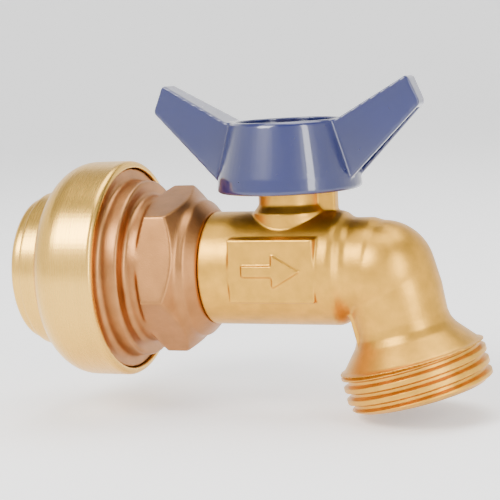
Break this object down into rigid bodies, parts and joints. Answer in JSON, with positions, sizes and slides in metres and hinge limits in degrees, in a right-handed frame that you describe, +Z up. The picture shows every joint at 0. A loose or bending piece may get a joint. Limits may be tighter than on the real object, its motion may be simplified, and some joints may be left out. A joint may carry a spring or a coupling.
{
  "type": "hose bib",
  "caption": "Quarter-turn brass hose bib: push-to-connect tube socket, ball valve with a blue wing handle, and a leaning spout with a garden hose thread.",
  "frame": {"origin": "centre of the tube stop at the bottom of the push-fit socket, on the pipe axis", "axes": "+X along the pipe axis from the tube to the spout, +Z up along the valve stem, +Y to the left of the flow"},
  "size_m": [0.0886, 0.0412, 0.061],
  "materials": {
    "cast_brass": "sand cast, blasted, warm yellow",
    "forged_brass": "raw forged, matte pinkish brown, turned surfaces bright",
    "turned_brass": "satin turned",
    "stem_brass": "machined",
    "spring_steel": "bright",
    "chromed_ball": "polished",
    "seat_white": "waxy white fluoropolymer",
    "spacer_white": "moulded white",
    "seal_rubber": "black, lubricated",
    "handle_enamel": "glossy dark blue enamel",
    "fastener_steel": "zinc plated"
  },
  "bodies": {
    "fixture": {"valve_body": "cast_brass", "inlet_connector": "forged_brass", "push_fit_cap": "turned_brass", "grab_ring": "spring_steel", "grab_ring_spacer": "spacer_white", "o_ring_protector": "spacer_white", "socket_o_ring": "seal_rubber", "connector_o_ring": "seal_rubber", "inlet_seat": "seat_white", "outlet_seat": "seat_white"},
    "turning_handle": {"handle": "handle_enamel", "handle_washer": "fastener_steel", "lock_washer": "fastener_steel", "handle_nut": "fastener_steel", "stem": "stem_brass", "stem_thrust_washer": "seat_white", "lower_stem_o_ring": "seal_rubber", "upper_stem_o_ring": "seal_rubber"},
    "turning_ball": {"ball": "chromed_ball"},
    "sliding_collar": {"release_collar": "turned_brass"}
  },
  "joints": [
    {"name": "handle_turn", "type": "hinge", "parent": "fixture", "child": "turning_handle", "pos_m": [0.026, 0, 0], "axis": [0, 0, -1], "range_deg": [0, 90]},
    {"name": "ball_turn", "type": "hinge", "parent": "fixture", "child": "turning_ball", "pos_m": [0.026, 0, 0], "axis": [0, 0, -1], "range_deg": [0, 90]},
    {"name": "collar_slide", "type": "slide", "parent": "fixture", "child": "sliding_collar", "axis": [1, 0, 0], "range_m": [0, 0.0023]}
  ],
  "couplings": [
    {"joint": "ball_turn", "follows": "handle_turn", "ratio": 1}
  ]
}
